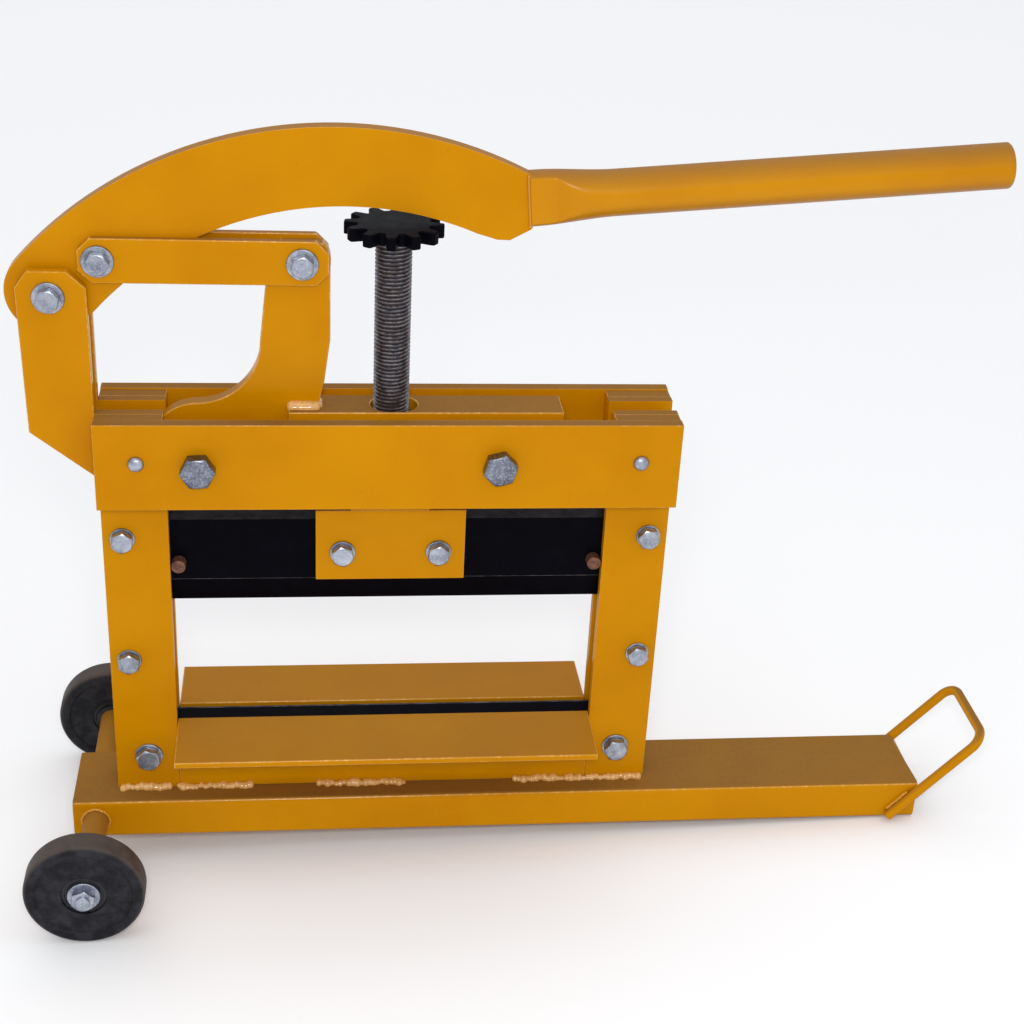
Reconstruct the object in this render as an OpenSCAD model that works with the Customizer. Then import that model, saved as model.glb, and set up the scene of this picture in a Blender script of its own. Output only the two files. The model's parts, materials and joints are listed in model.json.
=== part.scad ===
// Lever block splitter for paving and masonry blocks.
// Millimetres, +Z up, +X towards the carry handle, -Y towards the operator.
// Every sub-part is drawn level on the beam top and then set on its wheels by stance().

/* [Opening] */
// Clear width between the two uprights
opening_width = 335; // [310:1:370]
// Height of the table's inner edge above the beam
table_level = 63.5; // [56:0.5:72]
// Height of the cross plates' underside above the beam
crosshead_level = 267; // [262:1:290]
// Depth of one table from its inner to its outer edge
table_depth = 59.5; // [45:0.5:70]
// Fall of one table from its inner to its outer edge
table_fall = 2.5; // [0:0.5:5]
// Thickness of a table plate
table_thick = 5; // [4:0.5:7]
// Gap between the two tables
table_gap = 21; // [18:0.5:28]

/* [Uprights] */
// Width of an upright flat bar
bar_width = 49.5; // [44:0.5:56]
// Thickness of an upright flat bar
bar_thick = 8; // [6:0.5:10]
// Width of the spacer between the bars, measured from the outer edge
spacer_width = 24.5; // [22:0.5:26]

/* [Crosshead] */
// Thickness of a cross plate
cross_thick = 10; // [8:0.5:12]
// Height of a cross plate
cross_height = 69; // [67:0.5:76]
// Thickness of a packer between upright bar and cross plate
packer_thick = 12.2; // [11.5:0.1:15]

/* [Base] */
// Beam length beyond the axle
beam_overhang = 18; // [14:0.1:40]
// Beam length beyond the right upright
beam_tail = 234.8; // [170:0.2:300]
// Beam width
beam_width = 72.5; // [66:0.5:90]
// Beam height
beam_height = 34.3; // [30:0.1:45]
// Beam wall thickness
beam_wall = 3; // [2.5:0.5:4]
// Axle diameter
axle_diameter = 20; // [16:1:22]
// Distance of the axle outside the left upright
axle_gap = 17; // [14:0.5:40]
// Wheel diameter
wheel_diameter = 92; // [84:1:106]
// Wheel width over the tread
wheel_width = 22; // [18:1:26]
// Distance between the middles of the two wheels
wheel_track = 240; // [210:1:280]
// Carry handle rod diameter
loop_rod = 8; // [6:0.5:10]
// Carry handle leg length
loop_length = 107; // [90:1:130]
// Carry handle slope
loop_slope = 47.5; // [40:0.5:55]

/* [Blades] */
// Thickness of the upper blade
blade_thick = 16; // [14:0.5:18]
// Height of the upper blade
blade_height = 74; // [60:1:76]
// Height of the upper blade's bevel
bevel_height = 22; // [14:0.5:24]
// Guide pin diameter
pin_diameter = 11; // [9:0.5:12]
// Clamp plate width
clamp_width = 115; // [100:1:130]
// Clamp plate height
clamp_height = 60; // [54:0.5:62]

/* [Linkage] */
// Distance of the rocking beam's pivot inside the left upright
pivot_inset = 25.2; // [24.5:0.1:32]
// Height of the rocking beam's pivot above the cross plates' underside
pivot_rise = 34.2; // [31:0.1:36]
// Distance of the lever's pivot outside the left upright
post_reach = 26.5; // [25.5:0.1:30]
// Height of the lever's pivot above the rocking beam's pivot
post_rise = 123.8; // [122:0.2:132]
// Crank of the lever from its pivot to the link pin, along X
crank_run = 35.1; // [34:0.1:38]
// Crank of the lever from its pivot to the link pin, along Z
crank_rise = 25.9; // [25:0.1:29]
// Lean of the swan-neck arm from its pivot to the link pin, along X
arm_lean = 76.9; // [75:0.1:80]
// Height of the swan-neck arm from its pivot to the link pin
arm_rise = 149; // [144:0.1:154]

/* [Lever] */
// Reach of the lever plate from its pivot to the handle's root
lever_reach = 340; // [330:1:360]
// Thickness of the lever, and of the swan-neck arm
plate_thick = 12; // [10:0.5:13]
// Thickness of a link plate
link_thick = 6; // [5:0.5:7]
// Width of a link plate
link_width = 33.2; // [32:0.2:36]
// Handle tube outside diameter
tube_diameter = 33.7; // [30:0.1:36]
// Handle tube wall
tube_wall = 3.2; // [2.5:0.1:4]
// Handle tube length beyond its flattened end
tube_length = 297; // [220:1:420]
// Lever hub radius
hub_radius = 32; // [28:0.5:34]

/* [Screw] */
// Screw outside diameter
screw_diameter = 27; // [24:0.5:28]
// Star wheel diameter over the teeth
star_diameter = 72; // [60:1:76]
// Star wheel thickness
star_thick = 9.6; // [8:0.2:11]
// Number of star wheel teeth
star_teeth = 12; // [10:1:14]

/* [Fits] */
// Side clearance of the blade in its groove
blade_clear = 0.5; // [0.4:0.05:0.8]
// Radial clearance of a running fit
run_clear = 0.05; // [0.02:0.01:0.09]
// Side gap between plates that move past each other
side_gap = 0.3; // [0.3:0.05:0.5]
// Radial clearance of the open pivot between link bolt and arm
open_clear = 2.1; // [1.9:0.1:2.6]

/* [Hidden] */
$fn = 72;
eps = 0.01;
yellow = [0.80, 0.53, 0.02];
zinc = [0.72, 0.73, 0.76];
black = [0.06, 0.06, 0.07];
dark_steel = [0.20, 0.18, 0.18];
rust = [0.36, 0.22, 0.16];
rubber = [0.10, 0.10, 0.11];

// Depth of the frame from its middle outwards
groove_half = blade_thick / 2 + blade_clear;
bar_face = groove_half + bar_thick;
cross_in = bar_face + packer_thick;
cross_face = cross_in + cross_thick;
inner_x = opening_width / 2;
outer_x = inner_x + bar_width;
cross_top = crosshead_level + cross_height;
bar_top = cross_top - 1;
spacer_top = bar_top - 20;
spacer_x = outer_x - spacer_width;

// Pivots of the linkage: a lever on post, b lever to link, c link to arm, d arm on crosshead
d_x = -inner_x + pivot_inset;
d_z = crosshead_level + pivot_rise;
a_x = -outer_x - post_reach;
a_z = d_z + post_rise;
b_x = a_x + crank_run;
b_z = a_z + crank_rise;
c_x = d_x + arm_lean;
c_z = d_z + arm_rise;
link_reach = sqrt(pow(c_x - b_x, 2) + pow(c_z - b_z, 2));
link_angle = atan2(c_z - b_z, c_x - b_x);
pin_bolt = 12;
pivot_bolt_d = 16;

// Lever outline, measured from pivot a in shares of its reach
outer_arc = lever_reach * [0.5985, -0.5353];
outer_arc_r = norm(outer_arc) + hub_radius;
inner_arc = lever_reach * [0.6162, -0.5132];
inner_arc_r = norm(inner_arc) - hub_radius;
tube_slope = 4.94;
tube_start = lever_reach * [1, 0.2103];
flat_half = tube_diameter * 0.61;
flat_thick = tube_diameter * 0.31;
flat_length = lever_reach * 0.153;
tube_up = [-sin(tube_slope), cos(tube_slope)];
lever_half = plate_thick / 2;
link_in = lever_half + side_gap;
link_face = link_in + link_thick;

// Rocking beam
rock_half = 16.5;
cheek_thick = 8;
cheek_in = rock_half;
cheek_out = rock_half + cheek_thick;
rock_top = cross_top + 0.2;
rock_thick = 10;
rock_left = d_x + arm_rise * 0.443;
rock_right = 129.5;
bush_r = 13;
stop_x = 80;
stop_z = d_z + 1.6;
stop_r = 12;
floor_z = d_z - 27;
foot_r = arm_rise * 0.255;
neck_r = arm_rise * 0.322;
arm_head = 20.4;
neck = [-arm_rise * 0.015, foot_r + neck_r - 0.2];
nut_half = rock_half - side_gap;
trunnion_r = 10;
nut_drift = 1.6;

// Blade carriage
screw_r = screw_diameter / 2;
blade_top = crosshead_level - 24;
blade_edge = blade_top - blade_height;
clamp_in = blade_thick / 2;
clamp_thick = 8;
clamp_face = clamp_in + clamp_thick;
clamp_x = 1;
clamp_top = crosshead_level - 13;
clamp_bolt_z = clamp_top - clamp_height + 24;
clamp_bolt_x = 37;
saddle_top = clamp_top + 12;
journal_r = 6;
collar_r = clamp_in - 0.4;
pin_x = inner_x - pin_diameter / 2 - 0.8;
pin_z = blade_edge + 37;
blade_end = spacer_x - 3;

// Star wheel sits clear under the lever's inner edge
star_r = star_diameter / 2;
lever_low = a_z + inner_arc[1] + sqrt(pow(inner_arc_r, 2) - pow(star_r + 1 - a_x - inner_arc[0], 2));
star_top = lever_low - 2.2;
star_low = star_top - star_thick;

// Base
axle_r = axle_diameter / 2;
axle_z = -beam_height / 2;
wheel_r = wheel_diameter / 2;
hub_width = wheel_width - 4;
wheel_y = wheel_track / 2;
hub_r = axle_r + 7;
axle_reach = outer_x + axle_gap;
beam_left = axle_reach + beam_overhang;
beam_right = outer_x + beam_tail;
loop_y = beam_width / 2 + loop_rod / 2;
loop_x = beam_right - 24;
loop_z = -beam_height + loop_rod / 2;
loop_bend = 14;
wall_in = groove_half;
table_low = table_level - table_thick;
fall_rate = table_fall / table_depth;
table_in = table_gap / 2;

// Stance on the floor: wheels at the left, beam's lower right edge at the right
run_x = beam_right + axle_reach;
stance_angle = asin(wheel_r / norm([run_x, beam_height + axle_z])) - atan2(beam_height + axle_z, run_x);
drop = -beam_right * sin(stance_angle) - beam_height * cos(stance_angle);
far_x = loop_x + loop_length * cos(loop_slope);
far_z = loop_z + loop_length * sin(loop_slope);
far_end = far_x * cos(stance_angle) + far_z * sin(stance_angle) + loop_rod / 2;
near_end = -axle_reach * cos(stance_angle) + axle_z * sin(stance_angle) - wheel_r;
slide_x = -(far_end + near_end) / 2;

// Sets the level machine on its wheels and centres it over the origin
module stance() {
  translate([slide_x, 0, -drop])
    rotate([0, stance_angle, 0])
      children();
}

// Extrudes an X-Z outline from y0 to y1
module slab(y0, y1) {
  translate([0, y1, 0])
    rotate([90, 0, 0])
      linear_extrude(y1 - y0)
        children();
}

// Extrudes a Y-Z outline from x0 to x1
module run_along(x0, x1) {
  translate([x0, 0, 0])
    rotate([90, 0, 90])
      linear_extrude(x1 - x0)
        children();
}

module box(x0, x1, y0, y1, z0, z1) {
  translate([x0, y0, z0])
    cube([x1 - x0, y1 - y0, z1 - z0]);
}

// Round bar along Y
module rod_y(x, z, r, y0, y1) {
  translate([x, y1, z])
    rotate([90, 0, 0])
      cylinder(r = r, h = y1 - y0);
}

// Hexagon along Y, given by its width across flats
module hex_y(x, z, flats, y0, y1) {
  translate([x, y1, z])
    rotate([90, 0, 0])
      rotate([0, 0, 30])
        cylinder(r = flats / 2 / cos(30), h = y1 - y0, $fn = 6);
}

// Washer along Y
module washer_y(x, z, r, hole, y0, y1) {
  difference() {
    rod_y(x, z, r, y0, y1);
    rod_y(x, z, hole, y0 - 1, y1 + 1);
  }
}

// Through bolt: head in front of face y0, nut behind face y1
module through_bolt(x, z, d, flats, head, y0, y1) {
  rod_y(x, z, d / 2, y0 - head / 2, y1 + head / 2);
  hex_y(x, z, flats, y0 - head, y0);
  hex_y(x, z, flats, y1, y1 + head);
}

// Through bolt with a washer under head and nut
module washer_bolt(x, z, d, flats, head, y0, y1, washer_r, washer_t) {
  rod_y(x, z, d / 2, y0 - head, y1 + head);
  rod_y(x, z, washer_r, y0 - washer_t, y0);
  rod_y(x, z, washer_r, y1, y1 + washer_t);
  hex_y(x, z, flats, y0 - washer_t - head, y0 - washer_t);
  hex_y(x, z, flats, y1 + washer_t, y1 + washer_t + head);
}

module base_beam() {
  color(yellow) stance()
    difference() {
      box(-beam_left, beam_right, -beam_width / 2, beam_width / 2, -beam_height, 0);
      box(-beam_left - 1, beam_right + 1, -beam_width / 2 + beam_wall, beam_width / 2 - beam_wall,
        -beam_height + beam_wall, -beam_wall);
      rod_y(-axle_reach, axle_z, axle_r, -beam_width, beam_width);
    }
}

module axle() {
  color(yellow) stance() {
    rod_y(-axle_reach, axle_z, axle_r, -wheel_y - hub_width / 2 - 0.3, wheel_y + hub_width / 2 + 0.3);
    for (s = [-1, 1])
      translate([0, s * (wheel_y - hub_width / 2 - 1.8), 0])
        rod_y(-axle_reach, axle_z, axle_r + 3, -1.5, 1.5);
  }
}

module wheel_bolts() {
  tip = wheel_y + hub_width / 2 + 0.3;
  color(zinc) stance() {
    rod_y(-axle_reach, axle_z, axle_r + 3.5, -tip - 2.5, -tip);
    hex_y(-axle_reach, axle_z, 16, -tip - 10, -tip - 1.5);
    rod_y(-axle_reach, axle_z, axle_r + 3.5, tip, tip + 2.5);
    hex_y(-axle_reach, axle_z, 16, tip + 1.5, tip + 10);
  }
}

module carry_handle() {
  reach = loop_length - loop_bend;
  across = loop_y - loop_bend;
  color(yellow) stance()
    translate([loop_x, 0, loop_z])
      rotate([0, -loop_slope, 0]) {
        for (s = [-1, 1])
          translate([0, s * loop_y, 0])
            rotate([0, 90, 0])
              cylinder(d = loop_rod, h = reach);
        translate([reach, across, 0])
          rotate_extrude(angle = 90)
            translate([loop_bend, 0])
              circle(d = loop_rod);
        translate([reach, -across, 0])
          rotate([0, 0, -90])
            rotate_extrude(angle = 90)
              translate([loop_bend, 0])
                circle(d = loop_rod);
        translate([loop_length, -across, 0])
          rotate([-90, 0, 0])
            cylinder(d = loop_rod, h = 2 * across);
      }
}

upper_bolt_x = outer_x - bar_width * 0.3;
upper_bolt_z = [crosshead_level * 0.46, crosshead_level - 36];
base_bolt_x = inner_x + bar_width * 0.475;
base_bolt_z = 32;
packer_x = inner_x + bar_width * 0.39;
packer_z = d_z + 4;

// One upright bar with its bolt holes, on side sx and between two depths
module upright_bar(sx, y0, y1) {
  slab(y0, y1)
    difference() {
      translate([sx > 0 ? inner_x : -outer_x, 0])
        square([bar_width, bar_top]);
      for (z = upper_bolt_z)
        translate([sx * upper_bolt_x, z])
          circle(d = 10);
      translate([sx * base_bolt_x, base_bolt_z])
        circle(d = 12);
      translate([sx * packer_x, packer_z])
        circle(d = 8);
    }
}

module left_front_bar() {
  color(yellow) stance() upright_bar(-1, -bar_face, -groove_half);
}

module left_rear_bar() {
  color(yellow) stance() upright_bar(-1, groove_half, bar_face);
}

module right_front_bar() {
  color(yellow) stance() upright_bar(1, -bar_face, -groove_half);
}

module right_rear_bar() {
  color(yellow) stance() upright_bar(1, groove_half, bar_face);
}

spacer_low = table_level + 6;

module upright_spacers() {
  color(yellow) stance()
    for (s = [-1, 1])
      slab(-groove_half, groove_half)
        difference() {
          translate([s > 0 ? spacer_x : -outer_x, spacer_low])
            square([spacer_width, spacer_top - spacer_low]);
          for (z = upper_bolt_z)
            translate([s * upper_bolt_x, z])
              circle(d = 10);
        }
}

module crosshead_packers() {
  color(yellow) stance()
    for (s = [-1, 1], t = [-1, 1])
      slab(t > 0 ? bar_face : -cross_in, t > 0 ? cross_in : -bar_face)
        difference() {
          translate([s > 0 ? inner_x : -outer_x, crosshead_level])
            square([bar_width, bar_top - crosshead_level]);
          translate([s * packer_x, packer_z])
            circle(d = 8);
        }
}

// Cross plate outline with holes for the pivot, the stop and the two small screws
module cross_outline() {
  difference() {
    translate([-outer_x, crosshead_level])
      square([2 * outer_x, cross_height]);
    translate([d_x, d_z])
      circle(d = pivot_bolt_d);
    translate([stop_x, stop_z])
      circle(d = pivot_bolt_d);
    for (s = [-1, 1])
      translate([s * packer_x, packer_z])
        circle(d = 8);
  }
}

module front_cross_plate() {
  color(yellow) stance() slab(-cross_face, -cross_in) cross_outline();
}

module rear_cross_plate() {
  color(yellow) stance() slab(cross_in, cross_face) cross_outline();
}

// Post outline: chamfered head around pivot a, slanted foot
module post_outline() {
  left = a_x - 23;
  head = a_z + 19.2;
  difference() {
    polygon([
      [left, a_z + 7],
      [a_x - 14.2, head],
      [a_x + 13.5, head],
      [-outer_x, a_z + 7],
      [-outer_x, crosshead_level + 15],
      [left + 2, crosshead_level + 53]
    ]);
    translate([a_x, a_z])
      circle(d = pin_bolt);
  }
}

module front_post_plate() {
  color(yellow) stance() slab(-bar_face, -groove_half) post_outline();
}

module rear_post_plate() {
  color(yellow) stance() slab(groove_half, bar_face) post_outline();
}

// Wall between the uprights, under the inner part of a table
module wall_profile() {
  polygon([
    [wall_in, 0],
    [bar_face, 0],
    [bar_face, table_low - (bar_face - table_in) * fall_rate],
    [table_in, table_low],
    [wall_in, table_low]
  ]);
}

module front_wall() {
  color(yellow) stance()
    run_along(-inner_x, inner_x)
      mirror([1, 0])
        wall_profile();
}

module rear_wall() {
  color(yellow) stance()
    run_along(-inner_x, inner_x)
      wall_profile();
}

module lower_blade() {
  land = 0.6;
  color(black) stance()
    difference() {
      run_along(-outer_x + 10, outer_x - 10)
        polygon([
          [-groove_half, base_bolt_z - 16],
          [groove_half, base_bolt_z - 16],
          [groove_half, table_low - 1],
          [land, table_level + 3],
          [-land, table_level + 3],
          [-groove_half, table_low - 1]
        ]);
      for (s = [-1, 1])
        rod_y(s * base_bolt_x, base_bolt_z, 6, -30, 30);
    }
}

module table_profile() {
  polygon([
    [table_in, table_level],
    [table_in + table_depth, table_level - table_fall],
    [table_in + table_depth, table_low - table_fall],
    [table_in, table_low]
  ]);
}

module front_table() {
  color(yellow) stance()
    run_along(-inner_x + 0.5, inner_x - 0.5)
      mirror([1, 0])
        table_profile();
}

module rear_table() {
  color(yellow) stance()
    run_along(-inner_x + 0.5, inner_x - 0.5)
      table_profile();
}

// Fillet welds along the foot of the walls and uprights, front and rear
module foot_welds() {
  leg = 5;
  color(yellow) stance()
    for (r = [[-0.98, -0.81], [-0.775, -0.51], [-0.25, 0.07], [0.5, 0.68], [0.7, 0.98]])
      for (t = [-1, 1])
        run_along(r[0] * outer_x, r[1] * outer_x)
          polygon([[t * bar_face, 0], [t * (bar_face + leg), 0], [t * bar_face, leg]]);
}

module upright_bolts() {
  color(zinc) stance()
    for (s = [-1, 1])
      for (z = upper_bolt_z)
        through_bolt(s * upper_bolt_x, z, 10, 16.5, 6.4, -bar_face, bar_face);
}

module base_bolts() {
  color(zinc) stance()
    for (s = [-1, 1])
      washer_bolt(s * base_bolt_x, base_bolt_z, 12, 17.5, 7, -bar_face, bar_face, 11.2, 2);
}

module packer_screws() {
  color(zinc) stance()
    for (s = [-1, 1])
      through_bolt(s * packer_x, packer_z, 8, 11.5, 4, -cross_face, cross_face);
}

module pivot_bolt() {
  color(zinc) stance()
    through_bolt(d_x, d_z, pivot_bolt_d, 24, 10, -cross_face, cross_face);
}

module stop_bolt() {
  color(zinc) stance()
    through_bolt(stop_x, stop_z, pivot_bolt_d, 24, 10, -cross_face, cross_face);
}

module stop_sleeve() {
  color(zinc) stance()
    washer_y(stop_x, stop_z, stop_r, pivot_bolt_d / 2 + 0.02, -cross_in, cross_in);
}

module lever_bolt() {
  color(zinc) stance()
    washer_bolt(a_x, a_z, pin_bolt, 17, 7.5, -bar_face, bar_face, 13, 2.5);
}

module lever_spacers() {
  color(zinc) stance()
    for (t = [-1, 1])
      washer_y(a_x, a_z, 12, pin_bolt / 2 + 0.02, t > 0 ? link_in : -groove_half, t > 0 ? groove_half : -link_in);
}

// Curved band of the lever between two eccentric arcs, measured from pivot a
module lever_band(end_top, root) {
  difference() {
    intersection() {
      translate(outer_arc)
        circle(r = outer_arc_r, $fn = 240);
      polygon([
        lever_reach * [0.603, -0.526],
        lever_reach * [-0.36, 0.315],
        lever_reach * [0, 0.97],
        lever_reach * [0.97, 0.97],
        end_top,
        root
      ]);
    }
    translate(inner_arc)
      circle(r = inner_arc_r, $fn = 240);
  }
}

// Lever: hub, curved band and a nose at the handle
module lever_plate() {
  end_top = tube_start + flat_half * tube_up;
  end_low = tube_start - flat_half * tube_up;
  root_x = lever_reach * 0.8906;
  root = [root_x, inner_arc[1] + sqrt(pow(inner_arc_r, 2) - pow(root_x - inner_arc[0], 2))];
  color(yellow) stance()
    difference() {
      union() {
        rod_y(a_x, a_z, hub_radius, -lever_half, lever_half);
        translate([a_x, 0, a_z])
          slab(-lever_half, lever_half)
            lever_band(end_top, root);
        translate([a_x, 0, a_z])
          slab(-lever_half, lever_half)
            polygon([
              end_top,
              end_low,
              lever_reach * [0.96, 0.1255],
              lever_reach * [0.9335, 0.1265],
              root,
              lever_reach * [0.882, 0.176],
              lever_reach * [0.935, 0.25]
            ]);
      }
      rod_y(a_x, a_z, pin_bolt / 2 + run_clear, -30, 30);
      rod_y(b_x, b_z, pin_bolt / 2 + run_clear, -30, 30);
    }
}

// Handle: tube pressed flat at the lever and welded on
module handle_tube() {
  color(yellow) stance()
    translate([a_x + tube_start[0], 0, a_z + tube_start[1]])
      rotate([0, 90 - tube_slope, 0]) {
        hull() {
          linear_extrude(0.5)
            scale([flat_half, flat_thick])
              circle(r = 1, $fn = 32);
          translate([0, 0, flat_length])
            cylinder(d = tube_diameter, h = 0.5, $fn = 32);
        }
        translate([0, 0, flat_length + 0.5])
          difference() {
            cylinder(d = tube_diameter, h = tube_length);
            translate([0, 0, 20])
              cylinder(d = tube_diameter - 2 * tube_wall, h = tube_length);
          }
      }
}

// Link outline along the line from b to c
module link_outline() {
  half = link_width / 2;
  head = link_reach + 19;
  tail = -14.2;
  cut = 9;
  translate([b_x, b_z])
    rotate([0, 0, link_angle])
      difference() {
        polygon([
          [tail, half - cut],
          [tail + cut, half],
          [head - cut, half],
          [head, half - cut],
          [head, cut - half],
          [head - cut, -half],
          [tail + cut, -half],
          [tail, cut - half]
        ]);
        circle(d = pin_bolt);
        translate([link_reach, 0])
          circle(d = pin_bolt);
      }
}

module front_link() {
  color(yellow) stance() slab(-link_face, -link_in) link_outline();
}

module rear_link() {
  color(yellow) stance() slab(link_in, link_face) link_outline();
}

module link_bolts() {
  color(zinc) stance() {
    washer_bolt(b_x, b_z, pin_bolt, 17, 7.5, -link_face, link_face, 13, 2.5);
    washer_bolt(c_x, c_z, pin_bolt, 17, 7.5, -link_face, link_face, 13, 2.5);
  }
}

// Swan-neck arm: foot around pivot d, hollow neck arc, head around pivot c
module arm_plate() {
  color(yellow) stance()
    difference() {
      union() {
        rod_y(d_x, d_z, foot_r, -lever_half, lever_half);
        rod_y(c_x, c_z, arm_head, -lever_half, lever_half);
        translate([d_x, 0, d_z])
          slab(-lever_half, lever_half)
            polygon([
              [0, floor_z - d_z],
              [0, 0],
              neck,
              [neck[0] + neck_r, neck[1]],
              arm_rise * [0.337, 0.861],
              [arm_lean - arm_head * 1.15, arm_rise],
              [arm_lean - arm_head * 0.55, arm_rise + arm_head * 0.68],
              [arm_lean + arm_head * 0.98, arm_rise],
              [arm_lean + arm_head * 0.98, arm_rise * 0.595],
              arm_rise * [0.62, 0.368],
              arm_rise * [0.554, 0.1],
              [arm_rise * 0.554, floor_z - d_z]
            ]);
      }
      rod_y(d_x + neck[0], d_z + neck[1], neck_r, -30, 30);
      box(d_x - foot_r - 1, d_x + 140, -30, 30, d_z - foot_r - 1, floor_z);
      rod_y(d_x, d_z, bush_r, -30, 30);
      rod_y(c_x, c_z, pin_bolt / 2 + open_clear, -30, 30);
      box(c_x - 2 * arm_head, c_x + 2 * arm_head, -30, 30, c_z + arm_head * 0.66, c_z + 2 * arm_head);
    }
}

// Cheek: from pivot d to the trunnion slot of the nut
module cheek(y0, y1) {
  slot_r = trunnion_r + 0.35;
  difference() {
    union() {
      rod_y(d_x, d_z, 22, y0, y1);
      slab(y0, y1)
        polygon([
          [d_x, d_z + 21.6],
          [rock_left + 10, rock_top - 7],
          [36, rock_top - 7],
          [36, floor_z],
          [-36, floor_z],
          [d_x, d_z - 21.6]
        ]);
    }
    rod_y(d_x, d_z, bush_r, y0 - 1, y1 + 1);
    rod_y(0, d_z, slot_r, y0 - 1, y1 + 1);
    rod_y(nut_drift, d_z, slot_r, y0 - 1, y1 + 1);
    box(0, nut_drift, y0 - 1, y1 + 1, d_z - slot_r, d_z + slot_r);
  }
}

module front_cheek() {
  color(yellow) stance() cheek(-cheek_out, -cheek_in);
}

module rear_cheek() {
  color(yellow) stance() cheek(cheek_in, cheek_out);
}

// Top plate with a notch for the arm and a long hole for the screw
module top_plate() {
  hole_r = screw_r + 1;
  shift = 5.4;
  color(yellow) stance()
    difference() {
      box(rock_left, rock_right, -rock_half, rock_half, rock_top - rock_thick, rock_top);
      box(rock_left - 1, d_x + arm_rise * 0.595, -lever_half, lever_half, rock_top - 30, rock_top + 1);
      translate([-1, 0, rock_top - 30])
        cylinder(r = hole_r, h = 40);
      translate([shift, 0, rock_top - 30])
        cylinder(r = hole_r, h = 40);
      box(-1, shift, -hole_r, hole_r, rock_top - 30, rock_top + 1);
    }
}

module beam_rib() {
  color(yellow) stance()
    box(36, rock_right - 8, -lever_half, lever_half, stop_z + stop_r + side_gap, rock_top - rock_thick);
}

module beam_spacers() {
  color(yellow) stance()
    for (t = [-1, 1])
      box(rock_left, d_x + arm_rise * 0.544, t > 0 ? lever_half : -cheek_in, t > 0 ? cheek_in : -lever_half,
        floor_z + 5, rock_top - rock_thick);
}

module pivot_bush() {
  color(dark_steel) stance()
    washer_y(d_x, d_z, bush_r, pivot_bolt_d / 2 + run_clear, -cross_in + side_gap, cross_in - side_gap);
}

// Nut block with two trunnions
module nut_block() {
  color(dark_steel) stance()
    difference() {
      union() {
        box(-19, 19, -nut_half, nut_half, d_z - 20, d_z + 20);
        rod_y(0, d_z, trunnion_r, -cheek_out, cheek_out);
      }
      translate([0, 0, d_z - 40])
        cylinder(r = screw_r + run_clear, h = 80);
    }
}

module upper_blade() {
  land = 0.6;
  half = blade_thick / 2;
  color(black) stance()
    difference() {
      run_along(-blade_end, blade_end)
        polygon([
          [-half, blade_top],
          [half, blade_top],
          [half, blade_edge + bevel_height],
          [land, blade_edge],
          [-land, blade_edge],
          [-half, blade_edge + bevel_height]
        ]);
      for (s = [-1, 1]) {
        rod_y(s * pin_x, pin_z, pin_diameter / 2, -30, 30);
        rod_y(clamp_x + s * clamp_bolt_x, clamp_bolt_z, 5, -30, 30);
      }
    }
}

// Clamp plate outline with its two bolt holes
module clamp_outline() {
  difference() {
    translate([clamp_x - clamp_width / 2, clamp_top - clamp_height])
      square([clamp_width, clamp_height]);
    for (s = [-1, 1])
      translate([clamp_x + s * clamp_bolt_x, clamp_bolt_z])
        circle(d = 10);
  }
}

module front_clamp() {
  color(yellow) stance() slab(-clamp_face, -clamp_in) clamp_outline();
}

module rear_clamp() {
  color(yellow) stance() slab(clamp_in, clamp_face) clamp_outline();
}

module clamp_bolts() {
  color(zinc) stance()
    for (s = [-1, 1])
      washer_bolt(clamp_x + s * clamp_bolt_x, clamp_bolt_z, 10, 16.5, 6.4, -clamp_face, clamp_face, 10, 2);
}

module guide_pins() {
  color(rust) stance()
    for (s = [-1, 1])
      rod_y(s * pin_x, pin_z, pin_diameter / 2, -bar_face, bar_face);
}

// Saddle that carries the screw's journal
module saddle() {
  color(yellow) stance()
    difference() {
      box(-30, 30, -clamp_face, clamp_face, clamp_top, saddle_top);
      translate([0, 0, clamp_top - 1])
        cylinder(r = journal_r + run_clear, h = 20);
    }
}

// Screw body with its turned journal; the thread is left to the visual model
module screw() {
  color(dark_steel) stance() {
    translate([0, 0, saddle_top + side_gap])
      cylinder(r = screw_r, h = star_low - saddle_top - side_gap);
    translate([0, 0, clamp_top - 8])
      cylinder(r = journal_r, h = saddle_top + side_gap - clamp_top + 8);
  }
}

// Star wheel: a disc with round gaps between its teeth
module star_wheel() {
  color(black) stance()
    difference() {
      translate([0, 0, star_low])
        cylinder(r = star_r, h = star_thick, $fn = 120);
      for (i = [0 : star_teeth - 1])
        rotate([0, 0, 9 + i * 360 / star_teeth])
          union() {
            translate([star_r * 0.88, 0, star_low - 1])
              cylinder(r = star_r * 0.135, h = star_thick + 2, $fn = 36);
            translate([star_r * 0.88, -star_r * 0.135, star_low - 1])
              cube([star_r, star_r * 0.27, star_thick + 2]);
          }
    }
}

module screw_collar() {
  color(dark_steel) stance()
    translate([0, 0, clamp_top - 6.5])
      difference() {
        cylinder(r = collar_r, h = 6.2);
        translate([0, 0, -1])
          cylinder(r = journal_r, h = 9);
      }
}

// Solid tyre with rounded shoulders and a shallow ring in both sides
module tyre_profile() {
  half = wheel_width / 2;
  round_r = 4;
  ring_in = hub_r + 5;
  ring_out = wheel_r - 9;
  difference() {
    union() {
      translate([hub_r, -half])
        square([wheel_r - hub_r - round_r, wheel_width]);
      translate([hub_r, -half + round_r])
        square([wheel_r - hub_r, wheel_width - 2 * round_r]);
      for (s = [-1, 1])
        translate([wheel_r - round_r, s * (half - round_r)])
          circle(r = round_r);
    }
    for (s = [-1, 1])
      translate([ring_in, s * half - 1.5])
        square([ring_out - ring_in, 3]);
  }
}

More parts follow.
